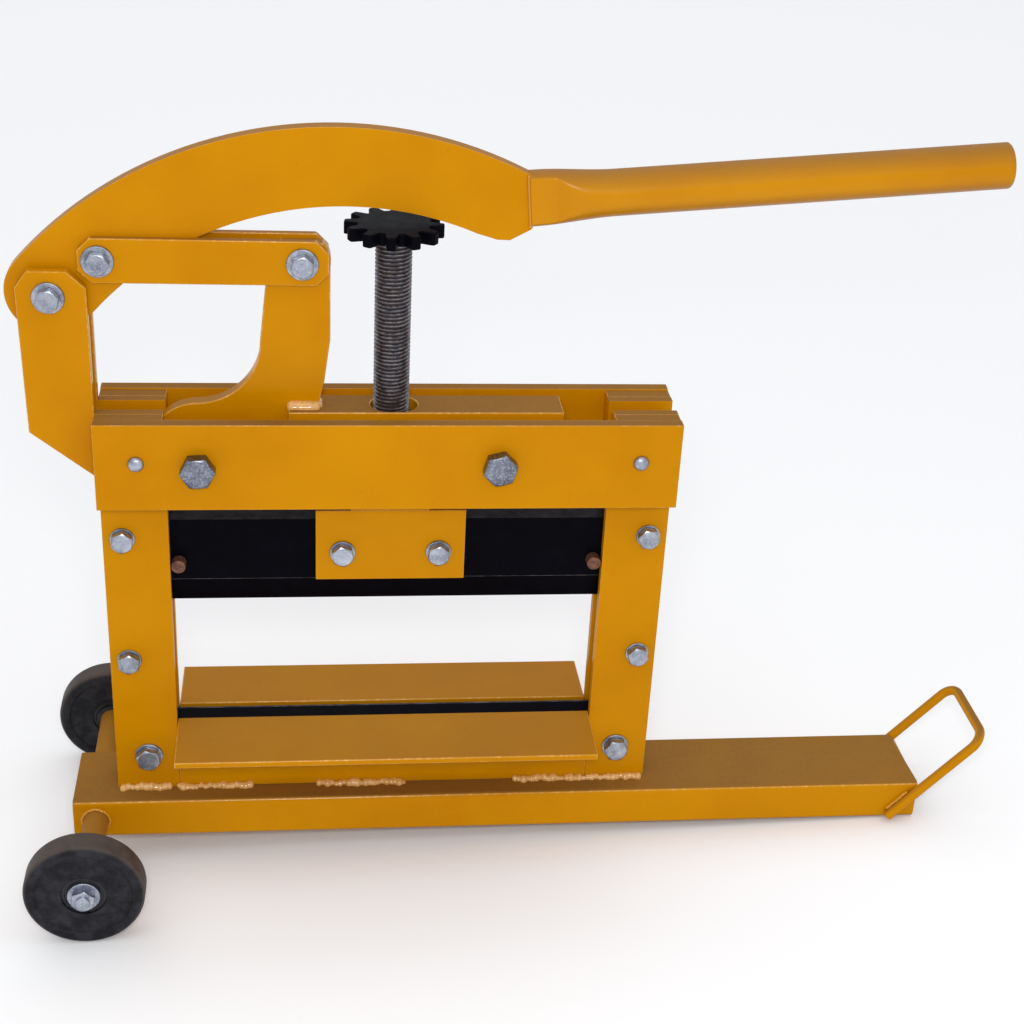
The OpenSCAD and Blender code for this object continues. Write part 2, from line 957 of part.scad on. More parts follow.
module tyre(y) {
  translate([-axle_reach, y, axle_z])
    rotate([90, 0, 0])
      rotate_extrude($fn = 120)
        tyre_profile();
}

module hub(y) {
  translate([0, y, 0])
    washer_y(-axle_reach, axle_z, hub_r, axle_r + run_clear, -hub_width / 2, hub_width / 2);
}

module front_tyre() {
  color(rubber) stance() tyre(-wheel_y);
}

module front_hub() {
  color(black) stance() hub(-wheel_y);
}

module rear_tyre() {
  color(rubber) stance() tyre(wheel_y);
}

module rear_hub() {
  color(black) stance() hub(wheel_y);
}

base_beam();
axle();
wheel_bolts();
carry_handle();
left_front_bar();
left_rear_bar();
right_front_bar();
right_rear_bar();
upright_spacers();
crosshead_packers();
front_cross_plate();
rear_cross_plate();
front_post_plate();
rear_post_plate();
front_wall();
rear_wall();
lower_blade();
front_table();
rear_table();
foot_welds();
upright_bolts();
base_bolts();
packer_screws();
pivot_bolt();
stop_bolt();
stop_sleeve();
lever_bolt();
lever_spacers();
lever_plate();
handle_tube();
front_link();
rear_link();
link_bolts();
arm_plate();
front_cheek();
rear_cheek();
top_plate();
beam_rib();
beam_spacers();
pivot_bush();
nut_block();
upper_blade();
front_clamp();
rear_clamp();
clamp_bolts();
guide_pins();
saddle();
screw();
star_wheel();
screw_collar();
front_tyre();
front_hub();
rear_tyre();
rear_hub();
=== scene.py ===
"""Looks of a wheeled lever block splitter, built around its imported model."""

import json
import random
from collections import namedtuple
from math import atan2, cos, hypot, radians, sin, tan, tau

import bpy
from bpy.props import FloatProperty, PointerProperty, StringProperty
from bpy.types import Operator, Panel, PropertyGroup
from mathutils import Matrix, Vector


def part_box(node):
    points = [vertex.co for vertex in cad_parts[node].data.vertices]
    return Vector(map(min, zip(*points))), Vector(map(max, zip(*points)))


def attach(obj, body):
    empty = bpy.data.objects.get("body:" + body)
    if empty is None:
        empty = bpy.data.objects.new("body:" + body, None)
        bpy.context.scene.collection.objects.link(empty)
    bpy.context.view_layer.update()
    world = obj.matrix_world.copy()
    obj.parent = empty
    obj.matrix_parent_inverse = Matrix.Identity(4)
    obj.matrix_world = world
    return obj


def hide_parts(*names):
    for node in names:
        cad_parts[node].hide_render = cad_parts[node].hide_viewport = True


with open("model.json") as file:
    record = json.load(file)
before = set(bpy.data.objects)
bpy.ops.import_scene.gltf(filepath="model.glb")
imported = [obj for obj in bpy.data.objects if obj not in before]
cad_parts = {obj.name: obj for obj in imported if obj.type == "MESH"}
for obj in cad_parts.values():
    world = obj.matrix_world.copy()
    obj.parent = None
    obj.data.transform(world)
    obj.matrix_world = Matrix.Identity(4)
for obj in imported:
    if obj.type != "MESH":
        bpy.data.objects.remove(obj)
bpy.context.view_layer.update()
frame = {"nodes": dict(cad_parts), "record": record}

bl_info = {
    "name": "Lever block splitter",
    "version": (1, 0, 0),
    "blender": (4, 5, 0),
    "location": "3D View > Sidebar > Splitter",
    "description": "Dresses the packed block splitter with its enamel, bolts, welds, wheels and screw",
    "category": "Object",
}

RECORD = frame["record"]
BODY_OF = {n: b for b, nodes in RECORD["behaviour"]["bodies"].items() for n in nodes}
SLOT_OF = {s["node"]: s["material_slot"] for s in RECORD["subparts"]}
JOINTS = {j["name"]: j for j in RECORD["behaviour"]["joints"]}

# Sizes and places below are millimetres in the level machine: the splitter before it leans on its wheels,
# with its origin on the beam, X along the beam, -Y towards the operator and Z along the screw
NUT_LEVEL = 301.2


def mm(value):
    """Millimetres to metres."""
    return value * 0.001


def level_machine():
    """Matrix from the level machine to the shared frame."""
    up = -Vector(JOINTS["screw_turn"]["axis"]).normalized()
    side = Vector((0, 1, 0))
    along = side.cross(up).normalized()
    origin = Vector(JOINTS["screw_turn"]["pos_m"]) - up * mm(NUT_LEVEL)
    turn = Matrix((along, side, up)).transposed().to_4x4()
    return Matrix.Translation(origin) @ turn


MACHINE = level_machine()
BACK = MACHINE.inverted()


def in_machine(point):
    """A point of the shared frame, in metres, as a point of the level machine."""
    return BACK @ Vector(point) * 1000


def pivot(joint):
    return in_machine(JOINTS[joint]["pos_m"])


def span(node):
    """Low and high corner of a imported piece."""
    points = [in_machine(v.co) for v in frame["nodes"][node].data.vertices]
    low = Vector([min(p[i] for p in points) for i in range(3)])
    high = Vector([max(p[i] for p in points) for i in range(3)])
    return low, high


LEVER_PIVOT = pivot("lever_swing")
LINK_PIVOT = pivot("link_swing")
BEAM_PIVOT = pivot("beam_rock")
AXLE = pivot("front_wheel_spin")
# The link's bolt in the swan-neck arm is the linkage's open pivot, so it has no joint
ARM_HOLE = BEAM_PIVOT + Vector((76.9, 0, 149.0))
HANDLE_ROOT = LEVER_PIVOT + Vector((340, 0, 71.5))
HANDLE_SLOPE = radians(4.94)

# Faces, ends and tops that other pieces line up with
OUTER_X, BAR_FACE, _ = span("right_rear_bar")[1]
CROSS_FACE = span("rear_cross_plate")[1].y
LINK_FACE = span("rear_link")[1].y
CLAMP_FACE = span("rear_clamp")[1].y
BEAM_SIDE = span("base_beam")[1].y
PLATE_TOP = span("top_plate")[1].z

# Signs of Y in front and behind, and the turns that stand a piece there
SIDES = (-1, 1)
FRONT = Matrix.Rotation(radians(90), 4, "X")
REAR = Matrix.Rotation(radians(-90), 4, "X")


# Scene helpers


def share(value, low, high):
    """How far a value has come from low to high, held between 0 and 1."""
    return min(max((value - low) / (high - low), 0), 1)


def ease(value, low, high):
    """The same with a soft start and end."""
    t = share(value, low, high)
    return t * t * (3 - 2 * t)


def spot(x, y, z, turn=None):
    """A place in the level machine."""
    place = Matrix.Translation((mm(x), mm(y), mm(z)))
    return place @ turn if turn else place


def clear_selection():
    """Back to object mode with nothing selected."""
    if bpy.context.mode != "OBJECT":
        bpy.ops.object.mode_set(mode="OBJECT")
    bpy.ops.object.select_all(action="DESELECT")


def take(*objects):
    """Selects only these objects and makes the first one active."""
    clear_selection()
    for ob in objects:
        ob.select_set(True)
    bpy.context.view_layer.objects.active = objects[0]


def edit_all(ob):
    """Opens a piece in edit mode with everything selected."""
    take(ob)
    bpy.ops.object.mode_set(mode="EDIT")
    bpy.ops.mesh.select_all(action="SELECT")


def edit_edges(ob, chosen):
    """Opens a piece in edit mode with the edges selected that the test picks by their vertices' numbers."""
    edit_all(ob)
    bpy.ops.mesh.select_all(action="DESELECT")
    bpy.ops.mesh.select_mode(type="EDGE")
    leave_edit()
    for edge in ob.data.edges:
        edge.select = chosen(*edge.vertices)
    bpy.ops.object.mode_set(mode="EDIT")


def leave_edit():
    bpy.ops.object.mode_set(mode="OBJECT")


def face_out():
    """Turns all faces of the open piece outward and leaves edit mode."""
    bpy.ops.mesh.select_all(action="SELECT")
    bpy.ops.mesh.normals_make_consistent(inside=False)
    leave_edit()


def modify(ob, kind, **settings):
    """Adds one modifier to a piece and applies it."""
    take(ob)
    bpy.ops.object.modifier_add(type=kind)
    mod = ob.modifiers[-1]
    for key, value in settings.items():
        setattr(mod, key, value)
    bpy.ops.object.modifier_apply(modifier=mod.name)


def broken(ob, width, segments, degrees, **settings):
    """Breaks the edges of a piece that are sharper than an angle."""
    modify(ob, "BEVEL", width=width, segments=segments, limit_method="ANGLE",
           angle_limit=radians(degrees), **settings)


def joined(pieces):
    """Joins pieces into the first one."""
    take(*pieces)
    if len(pieces) > 1:
        bpy.ops.object.join()
    return bpy.context.view_layer.objects.active


def copied(ob):
    """A copy of a piece with its own mesh."""
    take(ob)
    bpy.ops.object.duplicate()
    return bpy.context.view_layer.objects.active


def settle(ob, place=Matrix.Identity(4)):
    """Sets a piece at a place in the level machine, and applies the move into the shared frame."""
    ob.matrix_world = MACHINE @ place @ ob.matrix_world
    take(ob)
    bpy.ops.object.transform_apply(location=True, rotation=True, scale=True)


def copy_at(ob, place):
    """A copy of a piece at a place in the level machine."""
    new = copied(ob)
    settle(new, place)
    return new


def discard(*objects):
    for ob in objects:
        bpy.data.objects.remove(ob)


def smooth(ob, degrees=35, weighted=True):
    """Smooth shading up to an angle; weighted, it keeps flat faces flat."""
    take(ob)
    bpy.ops.object.shade_smooth_by_angle(angle=radians(degrees))
    if weighted:
        modify(ob, "WEIGHTED_NORMAL", keep_sharp=True, weight=90)


def two_slots(ob, second):
    """Gives a piece two slots, the second one on the faces that the test picks."""
    ob.data.materials.clear()
    for _ in range(2):
        ob.data.materials.append(None)
    for face in ob.data.polygons:
        face.material_index = 1 if second(face) else 0


FINISH = {}


def dress(ob, name, node, *coats, replaces=True):
    """Names a piece, gives it its finishes and hangs it on the body of a node."""
    ob.name = name
    ob.data.name = name
    # Slots are filled in place, because clearing them would reset the faces' slot numbers
    for index, coat in enumerate(coats):
        if index < len(ob.data.materials):
            ob.data.materials[index] = FINISH[coat]
        else:
            ob.data.materials.append(FINISH[coat])
    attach(ob, BODY_OF[node])
    if replaces:
        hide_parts(node)


def outline(points, closed):
    """An outline of (radius, height) points, with or without the edge from its end to its start."""
    clear_selection()
    bpy.ops.mesh.primitive_circle_add(vertices=len(points), fill_type="NOTHING")
    ob = bpy.context.active_object
    for vertex, (r, h) in zip(ob.data.vertices, points):
        vertex.co = (mm(r), 0, mm(h))
    if not closed:
        edit_edges(ob, lambda a, b: abs(a - b) == len(points) - 1)
        bpy.ops.mesh.delete(type="EDGE")
        leave_edit()
    return ob


def screwed(ob, steps, **settings):
    """Sweeps an outline once about Z, or along a helix, and merges what meets."""
    modify(ob, "SCREW", axis="Z", angle=tau, steps=steps, render_steps=steps,
           use_merge_vertices=True, merge_threshold=1e-6, **settings)


def turned(points, steps):
    """Turns an outline to a ring, or to a full round piece where it starts and ends on the axis."""
    ob = outline(points, closed=points[0][0] > 0)
    screwed(ob, steps)
    edit_all(ob)
    bpy.ops.mesh.remove_doubles(threshold=1e-6)
    face_out()
    return ob


def arc_points(r, h, radius, start, end, count):
    """Points of a round in a turned outline, angles in degrees."""
    angles = [radians(start + (end - start) * i / count) for i in range(count + 1)]
    return [(r + radius * cos(a), h + radius * sin(a)) for a in angles]


def mirrored(points):
    """An outline with its mirror image below Z = 0."""
    return points + [(r, -h) for r, h in reversed(points)]


# Materials


def linear(code):
    """An sRGB hex colour as linear RGBA."""
    out = []
    for i in (0, 2, 4):
        c = int(code[i:i + 2], 16) / 255
        out.append(c / 12.92 if c <= 0.04045 else ((c + 0.055) / 1.055) ** 2.4)
    return (*out, 1.0)


def plug(node, **inputs):
    """Sets or links a node's inputs, by name or as i and the input's number."""
    for key, value in inputs.items():
        socket = node.inputs[int(key[1:]) if key[1:].isdigit() else key.replace("_", " ")]
        if isinstance(value, bpy.types.NodeSocket):
            node.id_data.links.new(value, socket)
        else:
            socket.default_value = value


class Coat:
    """A material in the making, with its tree and the Object coordinates that its patterns lie on."""

    def __init__(self, name):
        self.material = bpy.data.materials.new(name)
        self.material.use_nodes = True
        self.tree = self.material.node_tree
        self.place = self.add("TexCoord", output="Object")

    def add(self, kind, settings=None, output=0, **inputs):
        """Adds a shader node with its settings and links, and returns one of its outputs."""
        node = self.tree.nodes.new("ShaderNode" + kind)
        for key, value in (settings or {}).items():
            setattr(node, key, value)
        plug(node, **inputs)
        return node.outputs[output]

    def patches(self, size, detail, rough, *spans):
        """Masks from one cloud of patches about this many millimetres across.

        Each span gives the cloud's levels where a mask starts and ends, and the mask's strength there.
        """
        cloud = self.add("TexNoise", Vector=self.place, Scale=1000 / size, Detail=detail, Roughness=rough)
        return [self.add("MapRange", Value=cloud, From_Min=low, From_Max=high, To_Min=least, To_Max=most)
                for low, high, least, most in spans]

    def facing(self, low, high, least, most):
        """Mask by how far a face looks up in the piece's own frame: 1 is straight up, -1 straight down."""
        up = self.add("SeparateXYZ", output="Z", Vector=self.place.node.outputs["Normal"])
        return self.add("MapRange", Value=up, From_Min=low, From_Max=high, To_Min=least, To_Max=most)

    def lay(self, tone, colour, *masks):
        """Lays a hex colour over a tone where all the masks let it show."""
        strength = masks[0]
        for mask in masks[1:]:
            strength = self.add("Math", {"operation": "MULTIPLY"}, i0=strength, i1=mask)
        ground = linear(tone) if isinstance(tone, str) else tone
        return self.add("Mix", {"data_type": "RGBA"}, 2, i0=strength, i6=ground, i7=linear(colour))

    def relief(self, size, detail, rough, strength, depth):
        """Bumps about this many millimetres across and deep."""
        height = self.add("TexNoise", Vector=self.place, Scale=1000 / size, Detail=detail, Roughness=rough)
        return self.add("Bump", Strength=strength, Distance=mm(depth), Height=height)

    def finish(self, **inputs):
        """Sets the shader and hands the material over."""
        plug(self.tree.nodes["Principled BSDF"], **inputs)
        return self.material


def make_enamel(colours, name, dust=0.0, shine=0.05, gloss=(0.24, 0.36), lies_on=(0.5, 0.95), worn=False,
                pale=0.0):
    """Sprayed alkyd enamel: deep yellow gloss, a faint orange peel, dulled on upward faces by stone dust."""
    coat = Coat(name)
    cloud, roughness = coat.patches(90, 4, 0.55, (0.35, 0.65, 0, 1), (0.3, 0.7, *gloss))
    tone = coat.lay(colours.enamel_shade, colours.enamel, cloud)
    # Grime of a few millimetres, faint, as left by wiping
    tone = coat.lay(tone, colours.grime, *coat.patches(7, 6, 0.7, (0.6, 0.8, 0, 0.25)))
    # Painted shade: downward faces are darkened towards brown
    tone = coat.lay(tone, colours.under, coat.facing(-0.3, -0.9, 0, 0.6))
    if dust:
        # Dust is grainy, lies in drifts of a few centimetres and takes the gloss away
        grain = coat.patches(4, 7, 0.75, (0.3, 0.7, 0.86, 1))
        drifts = coat.patches(60, 3, 0.6, (0.3, 0.7, 0.9, 1))
        settled = coat.facing(*lies_on, 0, dust)
        for mask in (*grain, *drifts):
            settled = coat.add("Math", {"operation": "MULTIPLY"}, i0=settled, i1=mask)
        tone = coat.lay(tone, colours.dust, settled)
        roughness = coat.add("Math", {"operation": "MULTIPLY_ADD"}, i0=settled, i1=0.3, i2=roughness)
    # Edge faces get painted highlights of lighter enamel and pale specks, besides chips of real wear
    if worn:
        # Painted highlight: lighter enamel laid evenly over the edge faces
        tone = coat.lay(tone, colours.edge, 0.25)
        # Painted highlight: pale specks along an edge, where it would catch the light
        tone = coat.lay(tone, colours.painted_glint, *coat.patches(4, 4, 0.7, (0.5, 0.64, 0, 0.5)))
        # Chips are a millimetre or two long and come in groups
        chips = coat.patches(5, 5, 0.75, (0.66, 0.7, 0, 0.6))
        groups = coat.patches(45, 2, 0.55, (0.48, 0.6, 0, 1))
        tone = coat.lay(tone, colours.primer, *chips, *groups)
    if pale:
        # Painted glare: the bead is paled in patches towards a glint colour
        tone = coat.lay(tone, colours.painted_glint, *coat.patches(6, 4, 0.6, (0.3, 0.6, 0.4 * pale, pale)))
    # Orange peel is about 1 mm in truth; drawn at 3 mm so that it shows
    return coat.finish(Base_Color=tone, Roughness=roughness, Specular_IOR_Level=shine,
                       Normal=coat.relief(3, 1.5, 0.55, 0.06, 0.6))


def make_zinc(colours, name, bright, dull):
    """Zinc plate on forged bolts: cold blue-white metal with a cloudy spangle and soft, uneven faces."""
    coat = Coat(name)
    cloud, roughness = coat.patches(11, 4, 0.6, (0.35, 0.68, 0, 1), (0.3, 0.7, 0.3, 0.44))
    tone = coat.lay(bright, dull, cloud)
    # Crystals of about a millimetre flash white
    tone = coat.lay(tone, colours.zinc_fleck, *coat.patches(1.8, 3, 0.6, (0.48, 0.75, 0, 0.4)))
    # Forged faces are never flat: waves of a few millimetres break the reflections
    return coat.finish(Base_Color=tone, Roughness=roughness, Metallic=1.0,
                       Normal=coat.relief(4, 4, 0.6, 0.4, 0.8))


def make_blade_black(colours, name, dust):
    """Hardened steel under black stove paint: near black, half gloss, faint scale, grey dust and a painted
    sheen on top.
    """
    coat = Coat(name)
    marks, roughness = coat.patches(14, 6, 0.7, (0.5, 0.75, 0, 0.5), (0.3, 0.7, 0.32, 0.5))
    tone = coat.lay(colours.blade, colours.blade_shade, marks)
    # Grey film on upward faces: dust and a painted sheen
    film = coat.patches(9, 5, 0.7, (0.3, 0.65, 0.1 * dust, dust))
    tone = coat.lay(tone, colours.blade_dust, coat.facing(0.5, 0.95, 0, 1), *film)
    return coat.finish(Base_Color=tone, Roughness=roughness, Specular_IOR_Level=0.03,
                       Normal=coat.relief(2.5, 4, 0.55, 0.2, 0.5))


def make_edge_steel(colours):
    """Rubbed edge of a blackened piece: grey steel that shows through in short streaks."""
    coat = Coat("rubbed_blade_edge")
    start, end = 0.42, 0.66
    streak, roughness, metal = coat.patches(12, 5, 0.7, (start, end, 0, 1), (start, end, 0.4, 0.3),
                                            (start, end, 0, 0.8))
    return coat.finish(Base_Color=coat.lay(colours.blade, colours.rubbed, streak), Roughness=roughness,
                       Metallic=metal)


def make_thread_steel(colours):
    """Oiled screw steel: dark brown-black metal, greasy shine and dirt in patches, and a painted highlight on
    the crests that leaves the roots darker.
    """
    coat = Coat("oiled_screw_steel")
    grease, roughness = coat.patches(8, 5, 0.65, (0.4, 0.68, 0, 1), (0.3, 0.7, 0.24, 0.45))
    tone = coat.lay(colours.thread, colours.thread_dust, grease)
    # Painted highlight: lighter steel on the crests, broken up in patches
    crest = coat.add("Attribute", {"attribute_name": "crest"}, "Fac")
    tone = coat.lay(tone, colours.crest, crest, *coat.patches(4, 4, 0.7, (0.4, 0.62, 0, 1)))
    return coat.finish(Base_Color=tone, Roughness=roughness, Metallic=0.85,
                       Normal=coat.relief(1.5, 3, 0.55, 0.15, 0.4))


def make_pin_steel(colours):
    """Bare sheared bar end: brown surface rust with lighter orange specks."""
    coat = Coat("rusted_pin_steel")
    specks = coat.patches(3, 6, 0.7, (0.4, 0.65, 0, 1))
    return coat.finish(Base_Color=coat.lay(colours.rust_shade, colours.rust, *specks), Roughness=0.62,
                       Metallic=0.3, Normal=coat.relief(3, 6, 0.7, 0.35, 0.5))


def make_rubber(colours):
    """Moulded solid rubber: charcoal, matt, with brown road dust on the tread and smears on the sides."""
    coat = Coat("solid_wheel_rubber")
    smear, film, roughness = coat.patches(16, 5, 0.68, (0.42, 0.66, 0, 0.9), (0.25, 0.6, 0.45, 0.95),
                                          (0.3, 0.7, 0.48, 0.7))
    tone = coat.lay(colours.rubber, colours.rubber_worn, smear)
    tread = coat.add("Attribute", {"attribute_name": "tread"}, "Fac")
    tone = coat.lay(tone, colours.road_dust, tread, film)
    return coat.finish(Base_Color=tone, Roughness=roughness, Specular_IOR_Level=0.2,
                       Normal=coat.relief(2.2, 4, 0.55, 0.25, 0.6))


def make_hub_plastic(colours):
    """Moulded nylon hub: dark, half matt, with fine mould texture and worn patches."""
    coat = Coat("moulded_hub_nylon")
    dirt, roughness = coat.patches(5, 4, 0.55, (0.5, 0.75, 0, 0.5), (0.3, 0.7, 0.4, 0.55))
    return coat.finish(Base_Color=coat.lay(colours.hub, colours.rubber_worn, dirt), Roughness=roughness,
                       Normal=coat.relief(5, 4, 0.55, 0.15, 0.3))


def make_floor(colours):
    """Painted studio board: plain, pale and matt."""
    coat = Coat("pale_studio_floor")
    return coat.finish(Base_Color=linear(colours.floor), Roughness=0.9)


# Sizes and colours that a user would change


class SplitterColours(PropertyGroup):
    """Colours of the splitter's finishes, as sRGB hex values."""

    enamel: StringProperty(name="Enamel", description="Yellow enamel on the frame", default="C78500")
    enamel_shade: StringProperty(name="Enamel shade", description="Cloud in the enamel", default="BF7C00")
    # Painted highlights: a lighter enamel for edges, and pale glints for edges and weld beads
    edge: StringProperty(name="Edge", description="Enamel where it thins along an edge", default="DC9F34")
    painted_glint: StringProperty(name="Rubbed enamel", description="Pale specks along an edge", default="F0C080")
    primer: StringProperty(name="Primer", description="Primer that shows in a chip", default="5A3A1C")
    grime: StringProperty(name="Grime", description="Wiped grime on the enamel", default="9B670A")
    # Painted shade colour for downward faces
    under: StringProperty(name="Underside", description="Brown film on undersides", default="6E4808")
    dust: StringProperty(name="Dust", description="Stone dust on upward faces", default="7E5A2C")
    zinc: StringProperty(name="Zinc", description="Bright zinc of the bolts", default="B4BAC6")
    zinc_shade: StringProperty(name="Zinc shade", description="Dull cloud in the zinc", default="7A808E")
    zinc_dark: StringProperty(name="Zinc dark", description="Zinc of the pivot bolts", default="4E4E5C")
    zinc_fleck: StringProperty(name="Zinc fleck", description="Bright crystals in the zinc", default="E6E8F0")
    blade: StringProperty(name="Blade", description="Blackened blade steel", default="04040A")
    blade_shade: StringProperty(name="Blade shade", description="Scale marks on the blade", default="0C0C14")
    # Grey dust and painted sheen on the blade's top
    blade_dust: StringProperty(name="Blade dust", description="Grey dust on the blade", default="50505A")
    rubbed: StringProperty(name="Rubbed edge", description="Steel at a rubbed blade edge", default="6E6C6A")
    thread: StringProperty(name="Thread", description="Oiled screw steel", default="58545A")
    # Painted highlight colour for the thread's crests
    crest: StringProperty(name="Thread crest", description="Rubbed crests of the thread", default="9C989C")
    thread_dust: StringProperty(name="Thread dirt", description="Dirt in grease", default="54443C")
    rust: StringProperty(name="Rust", description="Rust on the pins", default="8A5A40")
    rust_shade: StringProperty(name="Rust shade", description="Dark rust on the pins", default="4A3028")
    rubber: StringProperty(name="Rubber", description="Wheel rubber", default="0F0F15")
    rubber_worn: StringProperty(name="Worn rubber", description="Smears on the rubber", default="303036")
    road_dust: StringProperty(name="Road dust", description="Dust on the tread", default="504640")
    hub: StringProperty(name="Hub", description="Hub plastic", default="131316")
    floor: StringProperty(name="Floor", description="Studio floor", default="FAFAFA")
    world: StringProperty(name="Surroundings", description="Light all round the studio", default="F2F4F8")


LENGTH = dict(unit="LENGTH", subtype="DISTANCE")


class SplitterSizes(PropertyGroup):
    """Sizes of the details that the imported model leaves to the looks."""

    edge_break: FloatProperty(name="Edge break", description="Rounding of the plates' edges",
                              default=0.0009, **LENGTH)
    tube_corner: FloatProperty(name="Tube corner", description="Outer corner radius of the beam's tube",
                               default=0.0035, **LENGTH)
    pitch: FloatProperty(name="Pitch", description="Pitch of the screw's thread", default=0.003, **LENGTH)
    thread_depth: FloatProperty(name="Thread depth", description="Depth of the screw's thread",
                                default=0.0017, **LENGTH)
    bead: FloatProperty(name="Weld bead", description="Leg of the fillet welds", default=0.005, **LENGTH)
    lens: FloatProperty(name="Lens", description="Focal length on a 36 mm sensor", default=62.416,
                        min=20, max=200)


def sizes():
    return bpy.context.scene.splitter_sizes


def colours():
    return bpy.context.scene.splitter_colours


# Pieces


def softened(node, width, angle=40, segments=2, edge_slot=True, clamp=True):
    """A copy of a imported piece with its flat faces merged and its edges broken."""
    ob = copied(frame["nodes"][node])
    ob.parent = None
    for key in list(ob.keys()):
        del ob[key]
    edit_all(ob)
    bpy.ops.mesh.remove_doubles(threshold=1e-5)
    bpy.ops.mesh.dissolve_limited(angle_limit=radians(0.6))
    leave_edit()
    if width:
        two_slots(ob, lambda face: False)
        broken(ob, width, segments, angle, material=1 if edge_slot else 0, use_clamp_overlap=clamp)
    smooth(ob)
    return ob


def round_edges(ob, chosen, width, segments):
    """Rounds the edges that the test picks by their two ends in the level machine."""
    points = [in_machine(v.co) for v in ob.data.vertices]
    edit_edges(ob, lambda a, b: chosen(points[a], points[b]))
    bpy.ops.mesh.bevel(offset=width, segments=segments, profile=0.5)
    leave_edit()


# Enamel by how it is used: dust lies on the frame, tables are swept, hands wipe the rest
ENAMELS = {
    "yellow_enamel": dict(name="yellow_alkyd_enamel", dust=0.95),
    "enamel_table": dict(name="yellow_enamel_swept", dust=0.5),
    "enamel_gloss": dict(name="yellow_enamel_handled", dust=0.7, shine=0.06, gloss=(0.16, 0.24)),
    "enamel_clean": dict(name="yellow_enamel_wiped", shine=0.06, gloss=(0.16, 0.24)),
    "enamel_edge": dict(name="yellow_enamel_edge", dust=0.25, shine=0.35, gloss=(0.16, 0.26), worn=True),
    # The handle's top is browned in the dust colour over most of its round, as painted shade
    "enamel_tube": dict(name="yellow_enamel_handle", dust=0.75, shine=0.14, gloss=(0.22, 0.28),
                        lies_on=(0.25, 1.0)),
    "enamel_axle": dict(name="yellow_enamel_dusty_bar", dust=0.8, gloss=(0.3, 0.4), lies_on=(-0.4, 0.3)),
    "enamel_weld": dict(name="yellow_enamel_weld", shine=0.8, gloss=(0.06, 0.12)),
    # Weld beads with painted glare
    "weld_glare": dict(name="yellow_enamel_weld_glare", shine=0.8, gloss=(0.08, 0.16), pale=0.7),
}

# Plates by the coat that they show
PLATES = {
    "yellow_enamel": ("left_front_bar", "left_rear_bar", "right_front_bar", "right_rear_bar",
                      "upright_spacers", "crosshead_packers", "front_cross_plate", "rear_cross_plate",
                      "front_wall", "rear_wall", "front_cheek", "rear_cheek", "top_plate", "beam_rib",
                      "beam_spacers", "saddle"),
    "enamel_table": ("front_table", "rear_table"),
    "enamel_gloss": ("lever_plate", "front_link", "rear_link", "arm_plate"),
    "enamel_clean": ("front_post_plate", "rear_post_plate", "front_clamp", "rear_clamp"),
}


class SPLITTER_OT_finishes(Operator):
    """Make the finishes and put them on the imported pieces"""

    bl_idname = "splitter.finishes"
    bl_label = "Finishes"

    def execute(self, context):
        tint = colours()
        for coat, settings in ENAMELS.items():
            FINISH[coat] = make_enamel(tint, **settings)
        FINISH.update(
            zinc_plate=make_zinc(tint, "bright_zinc_plate", tint.zinc, tint.zinc_shade),
            zinc_dull=make_zinc(tint, "handled_zinc_plate", tint.zinc_shade, tint.zinc_dark),
            black_blade_steel=make_blade_black(tint, "black_blade_paint", 0.03),
            blade_dusty=make_blade_black(tint, "black_blade_paint_dust_sheen", 0.5),
            blade_edge=make_edge_steel(tint),
            oiled_thread_steel=make_thread_steel(tint),
            bare_pin_steel=make_pin_steel(tint),
            wheel_rubber=make_rubber(tint),
            hub_plastic=make_hub_plastic(tint),
        )
        for name, ob in frame["nodes"].items():
            ob.data.materials.clear()
            ob.data.materials.append(FINISH[SLOT_OF[name]])
        return {"FINISHED"}


class SPLITTER_OT_plates(Operator):
    """Break the edges of the flame-cut and sheared plates"""

    bl_idname = "splitter.plates"
    bl_label = "Plates"

    def execute(self, context):
        for coat, nodes in PLATES.items():
            for node in nodes:
                # The short sides of the screw's slot would clamp every edge of the top plate
                ob = softened(node, sizes().edge_break, clamp=node != "top_plate")
                dress(ob, node + "_painted", node, coat, "enamel_edge")
        return {"FINISHED"}


class SPLITTER_OT_beam(Operator):
    """Round the corners of the beam's rectangular tube"""

    bl_idname = "splitter.beam"
    bl_label = "Beam"

    def execute(self, context):
        ob = softened("base_beam", 0)
        low, high = span("base_beam")
        near, long_edge, end_break = 0.1, 300, 0.4

        def tube_corner(a, b):
            return abs(a.x - b.x) > long_edge and min(abs(a.y), abs(b.y)) > BEAM_SIDE - near

        def end_rim(a, b):
            return abs(a.x - b.x) < near / 10 and not low.x + near < a.x < high.x - near

        def slanting(face):
            normal = BACK.to_3x3() @ face.normal
            return min(abs(normal.y), abs(normal.z)) > 0.6

        round_edges(ob, tube_corner, sizes().tube_corner, 5)
        round_edges(ob, end_rim, mm(end_break), 1)
        two_slots(ob, slanting)
        smooth(ob)
        dress(ob, "beam_tube", "base_beam", "yellow_enamel", "enamel_edge")
        return {"FINISHED"}


class SPLITTER_OT_axle(Operator):
    """Paint the axle and leave its collars black"""

    bl_idname = "splitter.axle"
    bl_label = "Axle"

    def execute(self, context):
        bar_radius, painted_half = 10.2, 107

        def bare(face):
            at = in_machine(face.center)
            return hypot(at.x - AXLE.x, at.z - AXLE.z) > bar_radius or abs(at.y) > painted_half

        ob = softened("axle", mm(0.5), edge_slot=False)
        two_slots(ob, bare)
        dress(ob, "axle_painted", "axle", "enamel_axle", "hub_plastic")
        return {"FINISHED"}


